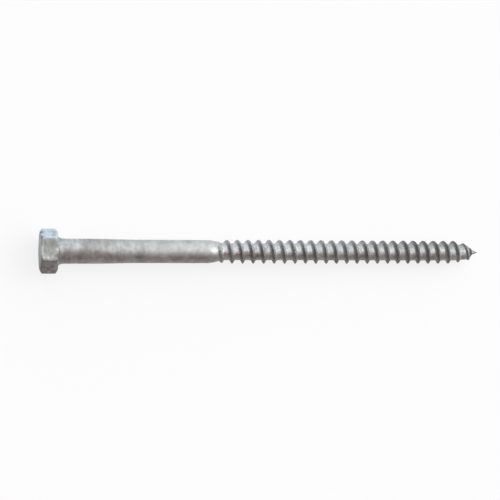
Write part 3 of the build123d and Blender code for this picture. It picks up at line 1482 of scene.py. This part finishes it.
@dataclass
class LagScrew:
    """The screw itself: head, neck, shank, thread, point and nib in one closed mesh.

    column_steps are degrees from a corner of the hexagon towards the middle of a flat.
    crest_lines are millimetres along the axis from the middle of the crest, and root_line is the
    last of them, half a pitch away. The rows that follow the helix begin foot_lead pitches before
    the ridge. step_rings are the rings of the flat where the thread ends, each as (distance past
    it, share of the nib's radius). The last ring lies tip_cut tip radii before the tip.
    """

    axis: Axis
    sizes: ScrewSizes = field(default_factory=ScrewSizes)
    finish: GalvanisedFinish = field(default_factory=GalvanisedFinish)
    column_steps: tuple[float, ...] = (0.0, 0.55, 1.1, 1.7, 4.0, 8.0, 13.0, 18.5, 24.0)
    crest_lines: tuple[float, ...] = (0.0, 0.14, 0.28, 0.42, 0.58, 0.76, 0.95, 1.13, 1.32, 1.55, 1.85)
    root_line: float = 2.25
    row_gap: float = 0.36 * MM
    fillet_steps: int = 8
    foot_lead: float = 0.7
    spare_turns: int = 3
    step_rings: tuple[tuple[float, float], ...] = ((0.0, 1.35), (0.0, 1.08), (0.03 * MM, 1.0))
    nib_rows: int = 9
    tip_cut: float = 0.6
    merge_gap: float = 0.004 * MM
    flat_gap: float = 0.002 * MM
    floor_gap: float = 0.005 * MM
    cloud_seed: int = 23
    cloud_size: float = 5.0 * MM
    cloud_layers: int = 3

    def columns(self) -> Array:
        """Works out the columns, closer together at the corners of the hexagon.

        Returns:
            Their angles in radians, rising from 0.
        """
        side, middle = 60.0, 30.0
        sector = [*self.column_steps, middle] + [side - a for a in reversed(self.column_steps[1:])]
        angles = [side * corner + a for corner in range(6) for a in sector]
        return np.radians(np.array(angles))

    def offsets(self) -> Array:
        """Lines across one pitch, measured from the middle of the crest, rising."""
        lines = [-a for a in reversed(self.crest_lines[1:])] + [*self.crest_lines, self.root_line]
        return np.array(lines) * MM

    def build(self) -> bpy.types.Object:
        """Builds the mesh, lays the coat's relief on it and dresses it.

        Returns:
            The screw's object, riding on the root body in place of the solid.
        """
        grid = GridMesh(self.columns())
        top, neck = self._head(grid)
        foot = self._shank(grid, neck)
        tip = self._nib(grid, self._thread(grid, foot))
        closed = grid.closed(top, tip, -self.sizes.head_height, self.sizes.length)
        mesh = bpy.data.meshes.new("lag_screw_coat")
        mesh.from_pydata([tuple(p) for p in self.axis.place(*closed)], [], grid.faces)
        mesh.validate()
        self._merge(mesh)
        self._coat(mesh)
        screw = bpy.data.objects.new("galvanised_lag_screw", mesh)
        bpy.context.scene.collection.objects.link(screw)
        mesh.polygons.foreach_set("use_smooth", [True] * len(mesh.polygons))
        mesh.materials.append(self.finish.material())
        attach(screw, "root")
        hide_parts(NODE)
        return screw

    def _head(self, grid: GridMesh) -> tuple[Array, Array]:
        """Adds the head's rows.

        Args:
            grid: the mesh in the making.

        Returns:
            Its first and last ring.
        """
        rings = [grid.ring(s, r) for s, r in HeadSection(self.sizes, grid.columns).rows()]
        for first, second in zip(rings, rings[1:]):
            grid.join(first, second)
        return rings[0], rings[-1]

    def _shank(self, grid: GridMesh, ring: Array) -> Array:
        """Adds the fillet at the neck and the plain shank.

        Args:
            grid: the mesh in the making.
            ring: the last ring of the head.

        Returns:
            The last ring of the shank.
        """
        sizes = self.sizes
        for step in range(1, self.fillet_steps + 1):
            turn = math.pi / 2 * step / self.fillet_steps
            s = sizes.fillet_length * (1.0 - math.cos(turn))
            ring = grid.extend(ring, s, sizes.neck_radius + sizes.fillet_width * (1.0 - math.sin(turn)))
        plain = self._thread_foot() - sizes.fillet_length
        rows = round(plain / self.row_gap)
        form = ScrewForm(sizes)
        for row in range(1, rows + 1):
            s = sizes.fillet_length + plain * row / rows
            ring = grid.extend(ring, s, form.shank(np.array([s]))[0])
        return ring

    def _thread_foot(self) -> float:
        """Where the plain rings end and the rows that follow the helix begin."""
        return self.sizes.ridge_start - self.foot_lead * self.sizes.pitch

    def _thread(self, grid: GridMesh, ring: Array) -> Array:
        """Adds rows that follow the helix, cut square at both ends.

        Args:
            grid: the mesh in the making.
            ring: the last ring of the shank.

        Returns:
            The last row of the thread.
        """
        sizes = self.sizes
        form = ScrewForm(sizes)
        foot = self._thread_foot()
        turn = grid.columns / FULL_TURN
        turns = math.ceil((sizes.nib_start - foot) / sizes.pitch) + self.spare_turns
        rows: list[Array] = []
        for k in range(-self.spare_turns, turns):
            crest = sizes.ridge_start + (k + turn) * sizes.pitch
            for offset in self.offsets():
                s = np.clip(crest + offset, foot, sizes.nib_start)
                threaded = form.threaded(s, wrapped(s - crest, sizes.pitch))
                rows.append(grid.ring(s, np.where(s <= foot, form.shank(s), threaded)))
        grid.join(ring, rows[0])
        grid.join_helix(rows, len(self.offsets()))
        return rows[-1]

    def _nib(self, grid: GridMesh, ring: Array) -> Array:
        """Adds the flat at the end of the thread and the nib.

        Args:
            grid: the mesh in the making.
            ring: the last row of the thread.

        Returns:
            The last ring of the nib.
        """
        sizes = self.sizes
        for past, share in self.step_rings:
            ring = grid.extend(ring, sizes.nib_start + past, sizes.nib_radius * share)
        length = sizes.nib_length - sizes.tip_radius * self.tip_cut
        for row in range(1, self.nib_rows + 1):
            t = row / self.nib_rows
            radius = sizes.nib_radius + (sizes.tip_radius - sizes.nib_radius) * t
            ring = grid.extend(ring, sizes.nib_start + length * t, radius)
        return ring

    def _merge(self, mesh: bpy.types.Mesh) -> None:
        """Merges doubled points and drops faces with no area.

        Args:
            mesh: the mesh, as first made.
        """
        work = bmesh.new()
        work.from_mesh(mesh)
        bmesh.ops.remove_doubles(work, verts=work.verts, dist=self.merge_gap)
        bmesh.ops.dissolve_degenerate(work, edges=work.edges, dist=self.flat_gap)
        bmesh.ops.recalc_face_normals(work, faces=work.faces)
        counts = len(work.verts), len(work.faces), sum(not edge.is_manifold for edge in work.edges)
        LOG.info("coat mesh: %d points, %d faces, %d open edges", *counts)
        work.to_mesh(mesh)
        work.free()

    def _normals(self, mesh: bpy.types.Mesh) -> Array:
        """Normals of the mesh's points, one row each."""
        return np.array([v.normal for v in mesh.vertices])

    def _coat(self, mesh: bpy.types.Mesh) -> None:
        """Moves the mesh by the coat's relief and stores the masks of its stains, wear and painted
        light and shade.

        Args:
            mesh: the screw's mesh in its true form.
        """
        axis = self.axis
        points = np.zeros(len(mesh.vertices) * 3)
        mesh.vertices.foreach_get("co", points)
        points = points.reshape(-1, 3)
        from_bearing = points - np.array(axis.bearing)
        s, side, up = (from_bearing @ np.array(way) for way in (axis.along, axis.side, axis.up))
        radius = np.hypot(side, up)
        relief = ZincCoat(self.sizes, axis).relief(points, s, radius)
        moved = points + self._normals(mesh) * relief[:, None]
        low = np.maximum(points[:, 2], 0.0)
        moved[:, 2] = np.maximum(moved[:, 2], np.minimum(low, self.floor_gap))
        mesh.vertices.foreach_set("co", moved.ravel())
        mesh.update()
        normals = self._normals(mesh)
        surface = Surface(
            sizes=self.sizes,
            points=points,
            s=s,
            side=side,
            radius=radius,
            angle=np.arctan2(up, side),
            forward=normals @ np.array(axis.along),
            aside=normals @ np.array(axis.side),
            cloud=LatticeNoise(self.cloud_seed).layered(points, self.cloud_size, self.cloud_layers),
        )
        for mask, value in WeatheringAndPaintedLight(axis).values(surface).items():
            attribute = mesh.attributes.new(mask.value, "FLOAT", "POINT")
            attribute.data.foreach_set("value", np.clip(value, 0.0, 1.0).astype(np.float32))


@dataclass
class Studio:
    """Pale floor, soft light and the camera.

    The sky is bright on the lit side, with a cool band low down, and dim on the other side and
    past the head. sky_blend, cool_height and head_reach say over which part of a direction,
    across, up and along, it changes. sky_lean turns the first change towards the tip.
    """

    axis: Axis
    aim: float = 80.04 * MM
    aim_aside: float = 0.72 * MM
    distance: float = 624.0 * MM
    tilt_to_head: float = math.radians(12.11)
    tilt_aside: float = math.radians(4.52)
    roll: float = math.radians(0.19)
    lens: float = 107.76
    sensor: float = 36.0
    near_clip: float = 0.01
    floor_half: float = 30.0
    floor_colour: Colour = (0.95, 0.93, 0.92)
    floor_roughness: float = 0.9
    floor_glow: float = 0.78
    window_towards: Direction = (0.66, 0.24, 0.72)
    window_distance: float = 2.4
    window_size: float = 1.2
    window_level: float = 0.22
    window_colour: Colour = (0.90, 0.96, 1.0)
    sky_level: float = 1.15
    sky_blend: float = 0.3
    sky_lean: float = 0.7
    sky_shift: float = 0.03
    bright_side: Colour = (1.27, 1.26, 1.24)
    cool_side: Colour = (1.13, 1.28, 1.44)
    cool_height: tuple[float, float] = (0.75, 0.1)
    dim_side: Colour = (0.36, 0.325, 0.305)
    head_side: Colour = (0.20, 0.195, 0.225)
    head_reach: tuple[float, float] = (-0.15, -0.65)

    def build(self) -> None:
        """Builds the floor, the window, the world and the camera."""
        self._floor()
        self._window()
        self._world()
        self._camera()

    def _floor(self) -> None:
        """A wide pale floor that also glows where it is seen, so that it looks white."""
        half = self.floor_half
        mesh = bpy.data.meshes.new("floor")
        corners = [(-half, -half, 0.0), (half, -half, 0.0), (half, half, 0.0), (-half, half, 0.0)]
        mesh.from_pydata(corners, [], [(0, 1, 2, 3)])
        floor = bpy.data.objects.new("floor", mesh)
        bpy.context.scene.collection.objects.link(floor)
        material = bpy.data.materials.new("pale_floor")
        material.use_nodes = True
        nodes = material.node_tree.nodes
        bench = NodeBench(material.node_tree)
        shader = nodes["Principled BSDF"]
        bench.feed(shader.inputs["Base Color"], (*self.floor_colour, 1.0))
        bench.feed(shader.inputs["Roughness"], self.floor_roughness)
        bench.feed(shader.inputs["Specular IOR Level"], 0.0)
        rays = bench.add("ShaderNodeLightPath").outputs
        seen = bench.math("MAXIMUM", rays["Is Camera Ray"], rays["Is Glossy Ray"])
        seen = bench.math("MAXIMUM", seen, rays["Is Transmission Ray"])
        white = bench.add("ShaderNodeEmission")
        mix = bench.add("ShaderNodeMixShader")
        layers = (bench.math("MULTIPLY", seen, self.floor_glow), shader.outputs[0], white.outputs[0])
        for target, value in zip(mix.inputs, layers):
            bench.feed(target, value)
        bench.feed(nodes["Material Output"].inputs["Surface"], mix.outputs[0])
        mesh.materials.append(material)

    def _window(self) -> None:
        """One large square lamp to the cool side, facing the screw.

        window_level is the brightness that it alone gives a white surface that faces it, where 1
        is white.
        """
        towards = Vector(self.window_towards)
        data = bpy.data.lights.new("window", "AREA")
        data.size = self.window_size
        data.energy = self.window_level * math.pi**2 * self.window_distance**2
        data.color = self.window_colour
        lamp = bpy.data.objects.new("window", data)
        lamp.location = towards.normalized() * self.window_distance
        lamp.rotation_euler = (-towards).to_track_quat("-Z", "Y").to_euler()
        bpy.context.scene.collection.objects.link(lamp)

    def _world(self) -> None:
        """Soft light from all round: cool and bright on one side, dim and warm on the other."""
        world = bpy.data.worlds.new("room")
        bpy.context.scene.world = world
        world.use_nodes = True
        bench = NodeBench(world.node_tree)
        split = bench.add("ShaderNodeSeparateXYZ")
        bench.feed(split.inputs[0], bench.add("ShaderNodeTexCoord").outputs["Generated"])
        along, across, up = split.outputs
        lean = bench.math("MULTIPLY_ADD", along, self.sky_lean, self.sky_shift)
        side = bench.math("ADD", across, lean)
        lit = bench.smooth_range(side, -self.sky_blend, self.sky_blend)
        low = bench.smooth_range(up, *self.cool_height)
        bright = bench.blend(low, self.bright_side, self.cool_side)
        sky = bench.blend(lit, self.dim_side, bright)
        behind = bench.smooth_range(along, *self.head_reach)
        sky = bench.blend(behind, sky, self.head_side)
        background = world.node_tree.nodes["Background"]
        bench.feed(background.inputs["Color"], sky)
        bench.feed(background.inputs["Strength"], self.sky_level)

    def _camera(self) -> None:
        """A long lens over the screw, leaning towards the head."""
        axis = self.axis
        out = axis.up * math.cos(self.tilt_aside) - axis.side * math.sin(self.tilt_aside)
        out = out * math.cos(self.tilt_to_head) - axis.along * math.sin(self.tilt_to_head)
        level = (axis.along - out * axis.along.dot(out)).normalized()
        upright = out.cross(level)
        right = level * math.cos(self.roll) + upright * math.sin(self.roll)
        above = upright * math.cos(self.roll) - level * math.sin(self.roll)
        target = axis.bearing + axis.along * self.aim + above * self.aim_aside
        data = bpy.data.cameras.new("camera")
        data.lens = self.lens
        data.sensor_width = self.sensor
        data.clip_start = self.near_clip
        camera = bpy.data.objects.new("camera", data)
        sides = (right, above, out, target + out * self.distance)
        rows = [[side[row] for side in sides] for row in range(3)]
        camera.matrix_world = Matrix((*rows, (0.0, 0.0, 0.0, 1.0)))
        bpy.context.scene.collection.objects.link(camera)
        bpy.context.scene.camera = camera


def main() -> None:
    """Loads the frame, builds the screw and its studio, and logs the screw's face count."""
    logging.basicConfig(level=logging.INFO, format="%(message)s")
    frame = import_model()
    sizes = ScrewSizes()
    axis = Axis.from_record(frame["record"], sizes)
    screw = LagScrew(axis, sizes).build()
    LOG.info("%s: %d faces", screw.name, len(screw.data.polygons))
    Studio(axis).build()
    bpy.context.scene.view_settings.view_transform = "Standard"


if __name__ == "__main__":
    main()
